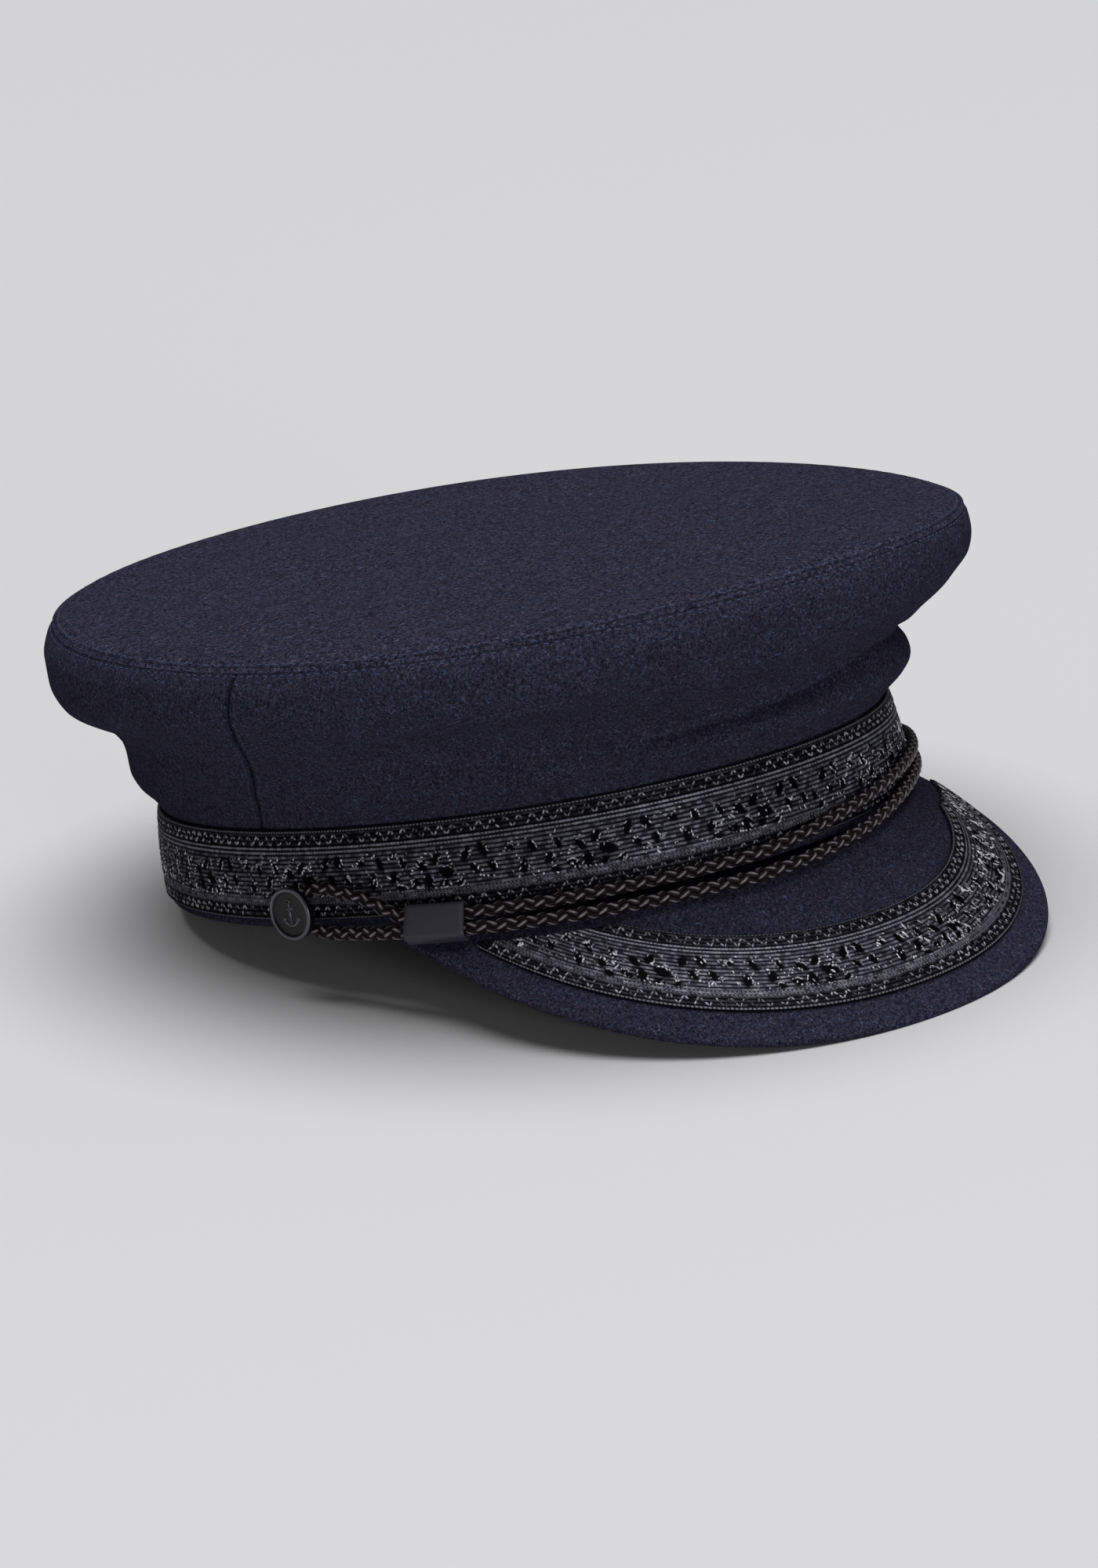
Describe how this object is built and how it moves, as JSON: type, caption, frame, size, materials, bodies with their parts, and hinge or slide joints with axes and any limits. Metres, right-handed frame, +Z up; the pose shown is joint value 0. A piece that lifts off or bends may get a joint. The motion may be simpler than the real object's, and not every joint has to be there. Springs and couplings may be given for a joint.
{
  "type": "breton fisherman cap",
  "caption": "Soft cap with a wide flat-topped wool crown on a stiff headband, a woven ribbon round the band and on the arched peak, and braided cords across the front.",
  "frame": {"origin": "centre of the base of the box round the cap at rest", "axes": "+Z up, -Y the way the peak points, +X the wearer's left"},
  "size_m": [0.221, 0.2642, 0.1049],
  "materials": {
    "wool": "brushed navy melton wool, matte",
    "ribbon": "woven black and grey ribbon with a satin glint",
    "braid": "round braided cord, glossy yarn",
    "slider": "satin slate lacquer",
    "button": "black lacquer, semi-gloss"
  },
  "bodies": {
    "root": {"headband": "wool", "crown_front": "wool", "crown_back": "wool", "crown_top": "wool", "band_ribbon": "ribbon", "peak": "wool", "peak_ribbon": "ribbon", "upper_cord": "braid", "lower_cord": "braid", "slider_right": "slider", "slider_left": "slider", "button_right": "button", "button_left": "button"}
  },
  "joints": []
}
